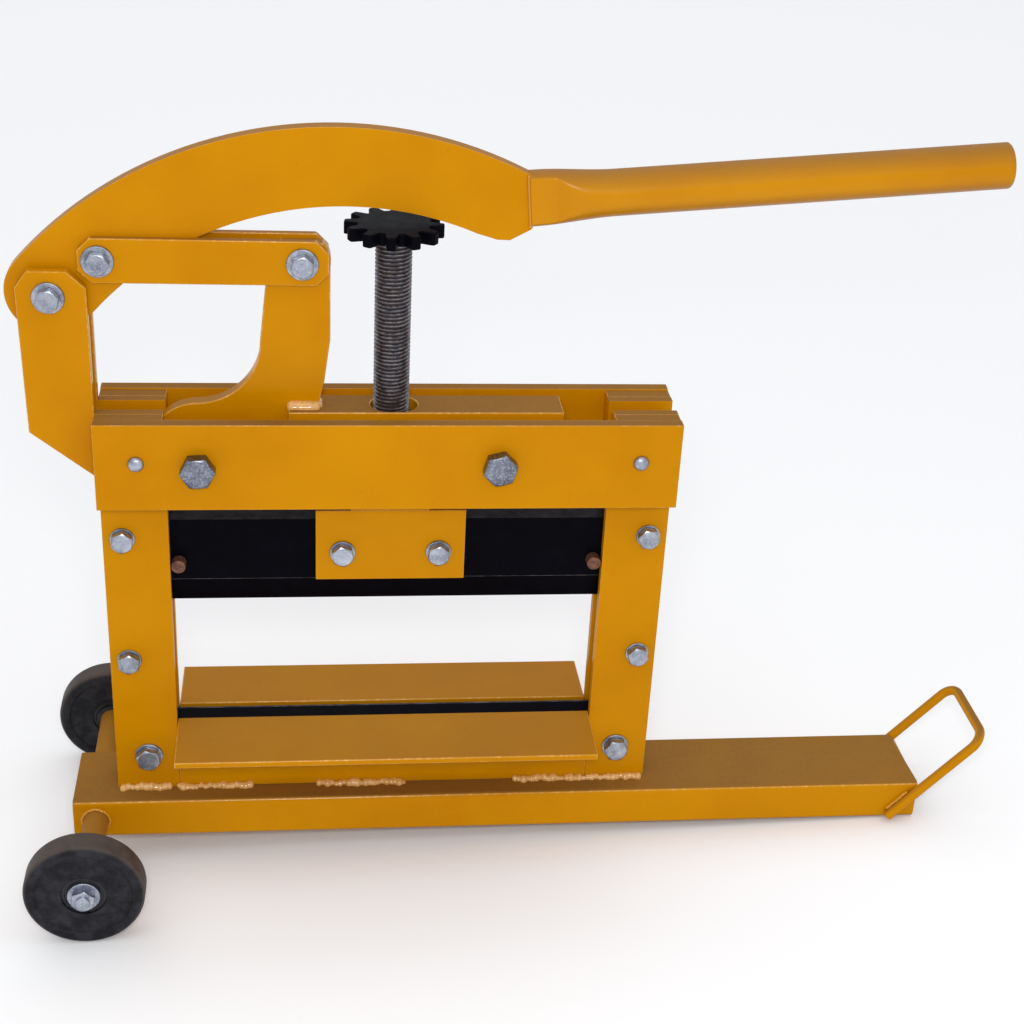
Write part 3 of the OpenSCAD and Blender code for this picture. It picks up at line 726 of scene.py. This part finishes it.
class SPLITTER_OT_blades(Operator):
    """Rub the edges of the two blades, cut the star wheel and round the guide pins"""

    bl_idname = "splitter.blades"
    bl_label = "Blades"

    def execute(self, context):
        for node, coat in (("upper_blade", "blade_dusty"), ("lower_blade", "black_blade_steel")):
            dress(softened(node, mm(0.5), angle=12), node + "_blackened", node, coat, "blade_edge")
        dress(self.star(), "star_wheel_painted", "star_wheel", "black_blade_steel")
        pins = softened("guide_pins", mm(0.8), segments=3, edge_slot=False)
        dress(pins, "guide_pins_bare", "guide_pins", "bare_pin_steel")
        return {"FINISHED"}

    @staticmethod
    def star():
        """The star wheel with rounded gullets and teeth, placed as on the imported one."""
        low, high = span("star_wheel")
        teeth, points, radius, depth = 12, 24, 36.0, 9.2
        # In degrees: the first gullet, and the half widths of a gullet's floor and mouth
        first, floor, mouth = 9, 3.4, 11.0
        clear_selection()
        bpy.ops.mesh.primitive_circle_add(vertices=teeth * points, fill_type="NGON")
        star = bpy.context.active_object
        for i, vertex in enumerate(star.data.vertices):
            off = (i % points / points - 0.5) * 360 / teeth
            r = radius - depth * (1 - ease(abs(off), floor, mouth))
            angle = radians(first + 360 * i / (teeth * points) - 180 / teeth)
            vertex.co = (mm(r * cos(angle)), mm(r * sin(angle)), 0)
        modify(star, "SOLIDIFY", thickness=mm(high.z - low.z), offset=1)
        bottom = min(v.co.z for v in star.data.vertices)
        settle(star, spot(0, 0, low.z - bottom * 1000))
        edit_all(star)
        face_out()
        broken(star, mm(1.1), 3, 60)
        smooth(star, 40)
        return star


class SPLITTER_OT_handle(Operator):
    """Loft the handle's tube from its pressed flat root to its open end"""

    bl_idname = "splitter.handle"
    bl_label = "Handle"

    def execute(self, context):
        radius, wall, length, rim, around, lift = 16.85, 3.2, 352.0, 1.0, 96, 0.8
        # Stations along the tube, close together where the pressed root swells to the round tube
        stations = [0, 2, 5, 9, 13, 16, 18, 20, 21.5, 23, 24.5, 26, *range(28, 61, 2)]
        stations += [64, 70, 80, 100, 150, 200, 250, 300, 340, 348, length - 1.2]
        rings = [(s, 0.0) for s in stations]
        # Round the open end's rim and back along the bore to its bottom
        rings += [(length, rim), (length, wall - rim), (length - rim, wall), (length - 60, wall),
                  (length - 140, wall), (length - 141, radius - 0.01)]
        clear_selection()
        bpy.ops.mesh.primitive_grid_add(x_subdivisions=around, y_subdivisions=len(rings) - 1, size=1)
        ob = bpy.context.active_object
        for j, (s, inset) in enumerate(rings):
            for i in range(around + 1):
                up, out = self.section(s, tau * (i % around) / around, radius, inset)
                ob.data.vertices[j * (around + 1) + i].co = (mm(s), mm(out), mm(up))
        edit_all(ob)
        bpy.ops.mesh.remove_doubles(threshold=1e-5)
        bpy.ops.mesh.select_all(action="DESELECT")
        bpy.ops.mesh.select_non_manifold()
        bpy.ops.mesh.fill()
        face_out()
        settle(ob, spot(HANDLE_ROOT.x, 0, HANDLE_ROOT.z + lift, Matrix.Rotation(-HANDLE_SLOPE, 4, "Y")))
        smooth(ob, 40, weighted=False)
        dress(ob, "handle_tube_lofted", "handle_tube", "enamel_tube")
        return {"FINISHED"}

    @staticmethod
    def section(s, angle, radius, inset):
        """A point of the tube's section at a station: taller and flat at the root, round further out."""
        root_tall, root_flat, sharp = 20.4, 9.3, 16.0
        tall = root_tall + (radius - root_tall) * ease(s, 4, 62) - inset
        rise = share(s, 18, 60)
        flat = root_flat + (radius * 1.08 - root_flat) * (1 - (1 - rise) ** 2.4)
        up = tall * cos(angle)
        out = (radius - inset) * sin(angle)
        if rise < 1:
            # Soft limit: the pressed flats meet the round in a rounded crest
            over = abs(out) / (flat - inset)
            out = out / (1 + over ** sharp) ** (1 / sharp)
        return up, out


class SPLITTER_OT_screw(Operator):
    """Cut the screw's thread and turn its journal"""

    bl_idname = "splitter.screw"
    bl_label = "Screw"

    def execute(self, context):
        low, high = 266.3, span("star_wheel")[0].z
        pitch, depth, major = sizes().pitch * 1000, sizes().thread_depth * 1000, 13.5
        root = major - depth
        # One turn of the thread, with heights as shares of the pitch
        profile = ((root, 0), (root, 0.12), (major, 0.44), (major, 0.6), (root, 0.92), (root, 1.0))
        ob = outline([(r, h * pitch) for r, h in profile], closed=False)
        turns = int((high - low) / pitch) + 3
        screwed(ob, 40, screw_offset=mm(pitch), iterations=turns)
        ob.location.z = mm(low - pitch * 1.5)
        take(ob)
        bpy.ops.object.transform_apply(location=True, rotation=False, scale=False)
        edit_all(ob)
        bpy.ops.mesh.remove_doubles(threshold=1e-6)
        for level, up in ((low, -1), (high, 1)):
            bpy.ops.mesh.select_all(action="SELECT")
            bpy.ops.mesh.bisect(plane_co=(0, 0, mm(level)), plane_no=(0, 0, up), use_fill=True,
                                clear_outer=True)
        face_out()
        # Marks the crests, where the painted highlight lies
        crest = ob.data.attributes.new("crest", "FLOAT", "POINT")
        for vertex, value in zip(ob.data.vertices, crest.data):
            value.value = share(vertex.co.xy.length * 1000, root, major)
        foot, top, radius, chamfer = 246, low - 0.1, 6, 0.8
        journal = [(0, foot), (radius - chamfer, foot), (radius, foot + chamfer), (radius, top), (0, top)]
        ob = joined([ob, turned(journal, 40)])
        settle(ob)
        smooth(ob, 28, weighted=False)
        dress(ob, "screw_threaded", "screw", "oiled_thread_steel")
        return {"FINISHED"}


def hex_head(flats, height):
    """A hexagon head or nut, chamfered by 30 degrees at its outer face, standing on Z = 0."""
    face = 0.46 * flats
    head = turned([(0, 0), (flats, 0), (flats, height / 2), (face, height), (0, height)], 72)
    sixth = radians(60)
    for vertex in head.data.vertices:
        x, y, z = vertex.co * 1000
        if hypot(x, y) < flats * 0.9:
            continue
        # The outer rings are drawn in to the hexagon, and the upper one to the chamfer's rim
        angle = atan2(y, x)
        reach = flats / 2 / cos((angle + sixth / 2) % sixth - sixth / 2)
        rim = height - (reach - face) * tan(radians(30))
        vertex.co = (mm(reach * cos(angle)), mm(reach * sin(angle)), mm(rim if z > height / 4 else 0))
    broken(head, mm(0.4), 2, 24)
    return head


def turned_disc(radius, thick, corner, steps=48):
    """A washer or bolt end, turned with a broken corner, standing on Z = 0."""
    foot = 0.2
    points = [(0, 0), (radius - foot, 0), (radius, foot)]
    points += arc_points(radius - corner, thick - corner, corner, 0, 90, 3)
    return turned(points + [(0, thick)], steps)


# A shape in a bolt's stack: its height above the face, whether it is rolled at random, and its sides
Layer = namedtuple("Layer", "shape lift rolls sides", defaults=(False, SIDES))
# Bolts of one kind: their places (x, z), shank diameter, width across flats, head height, the face that they
# sit on, and their washers' radius and thickness
BoltSet = namedtuple("BoltSet", "node places shank flats height face washer washer_thick")
UPPER_X, UPPER_LEVELS = 202.15, (122.82, 231.0)
BASE_X, BASE_LEVEL = 191.01, 32
STOP_X, STOP_LEVEL = 80, 302.8
CLAMP_MID, CLAMP_X, CLAMP_LEVEL = 1, 37, 218
PACKER_X, PACKER_LEVEL = 186.8, 305.2
BOLTS = (
    BoltSet("upright_bolts", [(s * UPPER_X, z) for s in SIDES for z in UPPER_LEVELS], 10, 15.6, 6.4, BAR_FACE,
            9.6, 1.6),
    BoltSet("base_bolts", [(s * BASE_X, BASE_LEVEL) for s in SIDES], 12, 17.5, 7.0, BAR_FACE, 11.2, 2.0),
    BoltSet("pivot_bolt", [BEAM_PIVOT.xz], 16, 23, 10, CROSS_FACE, 0, 0),
    BoltSet("stop_bolt", [(STOP_X, STOP_LEVEL)], 16, 23, 10, CROSS_FACE, 0, 0),
    BoltSet("lever_bolt", [LEVER_PIVOT.xz], 12, 15.5, 6.0, BAR_FACE, 11.7, 2.5),
    BoltSet("link_bolts", [LINK_PIVOT.xz, ARM_HOLE.xz], 12, 15.5, 6.0, LINK_FACE, 11.7, 2.5),
    BoltSet("clamp_bolts", [(CLAMP_MID + s * CLAMP_X, CLAMP_LEVEL) for s in SIDES], 10, 15.6, 6.4, CLAMP_FACE,
            10, 2.0),
)


class SPLITTER_OT_bolts(Operator):
    """Make the zinc bolts, nuts, washers and screws"""

    bl_idname = "splitter.bolts"
    bl_label = "Bolts"

    def execute(self, context):
        draw = random.Random(7)
        seat = 0.5
        for bolt in BOLTS:
            top = bolt.washer_thick
            stack = [Layer(turned_disc(bolt.washer, top, 0.9), 0)] if bolt.washer else []
            stack += [Layer(turned_disc(bolt.flats * 0.49, 0.6, 0.3), top),
                      Layer(hex_head(bolt.flats, bolt.height), top + seat, rolls=True),
                      Layer(turned_disc(bolt.shank / 2, 3.2, 1.0, 32), top + bolt.height, sides=(1,))]
            coat = "zinc_dull" if bolt.node in ("pivot_bolt", "stop_bolt") else "zinc_plate"
            self.both_faces(bolt.node, bolt.places, bolt.face, stack, draw, coat)
        reach = 10
        stack = [Layer(turned_disc(12.6, 2.4, 0.8), 0), Layer(hex_head(17, 6.6), 2.3, rolls=True),
                 Layer(turned_disc(5.6, 3.0, 1.2, 32), 8.0)]
        self.both_faces("wheel_bolts", [AXLE.xz], span("wheel_bolts")[1].y - reach, stack, draw)
        dome = [(0, 0), (5.9, 0), (6.0, 0.8), (5.7, 1.9), (5.0, 2.9), (3.9, 3.6), (2.4, 4.1), (0, 4.3)]
        places = [(s * PACKER_X, PACKER_LEVEL) for s in SIDES]
        self.both_faces("packer_screws", places, CROSS_FACE, [Layer(turned(dome, 40), 0)], draw, angle=40)
        return {"FINISHED"}

    @staticmethod
    def both_faces(node, places, face, stack, draw, coat="zinc_plate", angle=30):
        """Stacks layers on the front and rear face at each place."""
        made = []
        for x, z in places:
            for turn, sign in ((FRONT, -1), (REAR, 1)):
                for layer in stack:
                    if sign in layer.sides:
                        roll = Matrix.Rotation(draw.uniform(0, tau) if layer.rolls else 0, 4, "Z")
                        made.append(copy_at(layer.shape, spot(x, sign * (face + layer.lift), z, turn @ roll)))
        discard(*[layer.shape for layer in stack])
        ob = joined(made)
        smooth(ob, angle)
        dress(ob, node + "_zinc", node, coat)


def bead_run(start, end, radius, across, draw, step=2.0, uneven=0.07):
    """A weld bead: overlapping ripples from start to end, a little uneven in place and size."""
    start, path = Vector(start), Vector(end) - Vector(start)
    count = max(2, int(path.length / step))
    clear_selection()
    bpy.ops.mesh.primitive_uv_sphere_add(segments=10, ring_count=6, radius=mm(radius))
    ripple = bpy.context.active_object
    along, side = path.normalized(), Vector(across).normalized()
    out = along.cross(side)
    base = Matrix((along, side, out)).transposed().to_4x4()
    made = []
    for i in range(count + 1):
        at = start + path * (i / count)
        at += (side * draw.uniform(-1, 1) + out * draw.uniform(-1, 0.6)) * radius * uneven
        size = 1 + draw.uniform(-1, 1) * uneven
        stretch = Matrix.Diagonal((0.9 * size, 1.1 * size, 0.9 * size, 1))
        made.append(copy_at(ripple, spot(*at, base @ stretch)))
    discard(ripple)
    return joined(made)


def fused(runs, voxel, rounds):
    """Fuses overlapping ripples into one skin."""
    ob = joined(runs)
    ob.data.remesh_voxel_size = mm(voxel)
    take(ob)
    bpy.ops.object.voxel_remesh()
    modify(ob, "SMOOTH", factor=0.5, iterations=rounds)
    bpy.ops.object.shade_smooth()
    return ob


def foot_runs(draw):
    """Broken runs along the foot of the bars and walls, on both sides."""
    leg = sizes().bead * 1000
    runs = []
    # Ends of the runs as shares of the way from the middle to the bars' outer side
    for low, high in ((-0.98, -0.81), (-0.775, -0.51), (-0.25, 0.07), (0.5, 0.68), (0.7, 0.98)):
        for sign in SIDES:
            ends = [(x * OUTER_X, sign * (BAR_FACE + leg * 0.28), leg * 0.2) for x in (low, high)]
            runs.append(bead_run(*ends, leg * 0.62, (0, sign, -1), draw, step=3.4, uneven=0.3))
    return runs


def frame_runs(draw):
    """Runs at the posts, round the axle and along the carry handle's legs, on both sides."""
    proud, post_low, post_high = 0.6, 286, 330
    ring_radius, ring_step = 11, 24
    slope, leg_x, leg_z, leg_proud, near, far = radians(47.5), 427.7, -30.3, 1.2, 5, 26
    way = Vector((cos(slope), 0, sin(slope)))
    runs = []
    for sign in SIDES:
        # Post to the end of the cross plate and packer
        ends = [(-OUTER_X - proud, sign * (BAR_FACE + proud), z) for z in (post_low, post_high)]
        runs.append(bead_run(*ends, 2.2, (1, -sign, 0), draw))
        # Axle into the beam's side
        centre = Vector((AXLE.x, sign * (BEAM_SIDE + proud), AXLE.z))
        angles = [radians(v) for v in range(0, 360, ring_step)]
        ring = [centre + Vector((cos(a), 0, sin(a))) * ring_radius for a in angles]
        for a, b in zip(ring, ring[1:] + ring[:1]):
            runs.append(bead_run(a, b, 1.8, (0, sign, 0), draw, step=1.6))
        # Carry handle legs along the beam's side
        root = Vector((leg_x, sign * (BEAM_SIDE + leg_proud), leg_z))
        for shift in (-4.6, 4.6):
            off = root + Vector((-way.z, 0, way.x)) * shift
            runs.append(bead_run(off + way * near, off + way * far, 1.7, (0, sign, 0), draw, step=1.6))
    return runs


def arm_runs(draw):
    """Runs along both sides and across the heel of the swan-neck arm, on the top plate."""
    toe, heel, side_y, z = -74, -56, 7.6, PLATE_TOP + 0.8
    runs = [bead_run((toe, s * side_y, z), (heel, s * side_y, z), 4.2, (0, s, -1), draw) for s in SIDES]
    end_x, end_y, z = -53.4, 5, PLATE_TOP + 0.4
    return runs + [bead_run((end_x, -end_y, z), (end_x, end_y, z), 2.6, (1, 0, -1), draw)]


def handle_runs(draw):
    """Runs across the lever's end on both sides of the handle's root."""
    half = Vector((-sin(HANDLE_SLOPE), 0, cos(HANDLE_SLOPE))) * 18.5
    runs = []
    for sign in SIDES:
        middle = HANDLE_ROOT + Vector((-0.5, sign * 6.8, 0))
        runs.append(bead_run(middle + half, middle - half, 1.5, (1, -sign, 0), draw, step=1.4, uneven=0.04))
    return runs


class SPLITTER_OT_welds(Operator):
    """Lay the weld beads at the foot, the axle, the posts, the arm and the handles"""

    bl_idname = "splitter.welds"
    bl_label = "Welds"

    def execute(self, context):
        draw = random.Random(23)
        dress(fused(foot_runs(draw), 0.7, 3), "foot_weld_beads", "foot_welds", "weld_glare")
        for runs, voxel, rounds, name, node, coat in (
                (frame_runs, 0.5, 5, "frame_weld_beads", "base_beam", "enamel_weld"),
                (arm_runs, 0.5, 6, "arm_weld_beads", "arm_plate", "weld_glare"),
                (handle_runs, 0.4, 5, "handle_weld_beads", "lever_plate", "enamel_weld")):
            dress(fused(runs(draw), voxel, rounds), name, node, coat, replaces=False)
        return {"FINISHED"}


class SPLITTER_OT_wheels(Operator):
    """Turn the solid rubber wheels and their hubs"""

    bl_idname = "splitter.wheels"
    bl_label = "Wheels"

    def execute(self, context):
        tyre_low, tyre_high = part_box("front_tyre")
        hub_low, hub_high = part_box("front_hub")
        bore = (hub_high.z - hub_low.z) * 500
        tyre = self.tyre((tyre_high.z - tyre_low.z) * 500, (tyre_high.y - tyre_low.y) * 500, bore)
        hub = self.hub(bore, (hub_high.y - hub_low.y) * 500)
        for word in ("front", "rear"):
            low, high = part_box(word + "_tyre")
            place = spot(AXLE.x, (low.y + high.y) * 500, AXLE.z, FRONT)
            wheel = copy_at(tyre, place)
            smooth(wheel, 40)
            dress(wheel, word + "_wheel_rubber", word + "_tyre", "wheel_rubber")
            centre = copy_at(hub, place)
            smooth(centre, 30)
            dress(centre, word + "_wheel_hub", word + "_hub", "hub_plastic")
        discard(tyre, hub)
        return {"FINISHED"}

    @staticmethod
    def tyre(radius, half, bore):
        """A tyre with a lip at its bore, a dished side and round shoulders, its tread marked for the dust."""
        lip, lip_width, shoulder = 0.8, 3.6, 4.2
        side = arc_points(bore + lip, half - lip, lip, 180, 90, 3)
        side += arc_points(bore + lip_width, half - lip, lip, 90, 20, 2)
        side += [(bore + 6.4, half - 1.5), (radius - 13, half - 1.9), (radius - 9.6, half - 1.6)]
        side += [(radius - 8.8, half - 0.5), (radius - 7.8, half - 0.1), (radius - 6.4, half)]
        side += arc_points(radius - shoulder, half - shoulder, shoulder, 88, 6, 6)
        tyre = turned(mirrored(side + [(radius, half - 6), (radius, 0)]), 96)
        tread = tyre.data.attributes.new("tread", "FLOAT", "POINT")
        for vertex, value in zip(tyre.data.vertices, tread.data):
            value.value = share(vertex.co.xy.length * 1000, radius - 2.4, radius - 0.6)
        return tyre

    @staticmethod
    def hub(bore, half):
        """A hub with a shallow groove in each face."""
        groove = 0.5
        face = [(10.05, half), (12.8, half), (13.2, half - groove), (14.4, half - groove), (14.8, half)]
        return turned(mirrored(face + [(bore, half)]), 64)


class SPLITTER_OT_stage(Operator):
    """Set the pale floor, the soft lights and the camera"""

    bl_idname = "splitter.stage"
    bl_label = "Stage"

    def execute(self, context):
        clear_selection()
        bpy.ops.mesh.primitive_plane_add(size=60, location=(0, 0, 0))
        floor = context.active_object
        floor.name = "studio_floor"
        floor.data.materials.append(make_floor(colours()))
        scene = context.scene
        scene.view_settings.view_transform = "Standard"
        world = bpy.data.worlds.new("studio_world")
        world.use_nodes = True
        scene.world = world
        plug(world.node_tree.nodes["Background"], Color=linear(colours().world), Strength=0.75)
        middle = (0, 0, 0.3)
        self.softbox("key_light", at=(0.15, -2.3, 1.7), towards=middle, size=(2.6, 0.5), power=3)
        # A small lamp above the camera gives welds, bolts and tube their sharp glints
        self.softbox("camera_lamp", at=(-0.138, -1.2, 1.02), towards=middle, size=(0.22, 0.16), power=6.2)
        self.softbox("top_light", at=(0, 2.2, 4.2), towards=(0, 2.2, 0), size=(10.0, 10.0), power=130)
        self.camera(scene)
        return {"FINISHED"}

    @staticmethod
    def softbox(name, at, towards, size, power):
        light = bpy.data.lights.new(name, "AREA")
        light.shape = "RECTANGLE"
        light.size, light.size_y = size
        light.energy = power
        ob = bpy.data.objects.new(name, light)
        bpy.context.scene.collection.objects.link(ob)
        ob.location = at
        ob.rotation_euler = (Vector(towards) - Vector(at)).to_track_quat("-Z", "Y").to_euler()

    @staticmethod
    def camera(scene):
        """The photo's viewpoint: a little left of the middle, looking down by 28 degrees."""
        place = spot(-63.26, -1219.6, 885.58)
        azimuth, elevation, roll = (radians(v) for v in (7.4427, -27.5556, 3.1540))
        ahead = cos(elevation)
        look = Vector((sin(azimuth) * ahead, cos(azimuth) * ahead, sin(elevation)))
        right = Vector((cos(azimuth), -sin(azimuth), 0))
        up = right.cross(look)
        tilted = right * cos(roll) + up * sin(roll)
        up = up * cos(roll) - right * sin(roll)
        data = bpy.data.cameras.new("photo_camera")
        data.sensor_width = 36
        data.lens = sizes().lens
        ob = bpy.data.objects.new("photo_camera", data)
        scene.collection.objects.link(ob)
        ob.matrix_world = MACHINE @ place @ Matrix((tilted, up, -look)).transposed().to_4x4()
        scene.camera = ob


class SPLITTER_PT_panel(Panel):
    """Lists the steps that dress the splitter"""

    bl_idname = "SPLITTER_PT_panel"
    bl_label = "Block splitter"
    bl_space_type = "VIEW_3D"
    bl_region_type = "UI"
    bl_category = "Splitter"

    def draw(self, context):
        for step in STEPS:
            self.layout.operator(step.bl_idname, text=step.bl_label)
        for group in (context.scene.splitter_sizes, context.scene.splitter_colours):
            for key in group.__annotations__:
                self.layout.prop(group, key)


STEPS = (
    SPLITTER_OT_stage,
    SPLITTER_OT_finishes,
    SPLITTER_OT_plates,
    SPLITTER_OT_beam,
    SPLITTER_OT_axle,
    SPLITTER_OT_blades,
    SPLITTER_OT_handle,
    SPLITTER_OT_screw,
    SPLITTER_OT_bolts,
    SPLITTER_OT_welds,
    SPLITTER_OT_wheels,
)
CLASSES = (SplitterColours, SplitterSizes, *STEPS, SPLITTER_PT_panel)


def register():
    for item in CLASSES:
        bpy.utils.register_class(item)
    bpy.types.Scene.splitter_colours = PointerProperty(type=SplitterColours)
    bpy.types.Scene.splitter_sizes = PointerProperty(type=SplitterSizes)


def unregister():
    del bpy.types.Scene.splitter_sizes
    del bpy.types.Scene.splitter_colours
    for item in reversed(CLASSES):
        bpy.utils.unregister_class(item)


def main():
    register()
    clear_selection()
    bpy.ops.splitter.stage()
    bpy.ops.splitter.finishes()
    bpy.ops.splitter.plates()
    bpy.ops.splitter.beam()
    bpy.ops.splitter.axle()
    bpy.ops.splitter.blades()
    bpy.ops.splitter.handle()
    bpy.ops.splitter.screw()
    bpy.ops.splitter.bolts()
    bpy.ops.splitter.welds()
    bpy.ops.splitter.wheels()


if __name__ == "__main__":
    main()
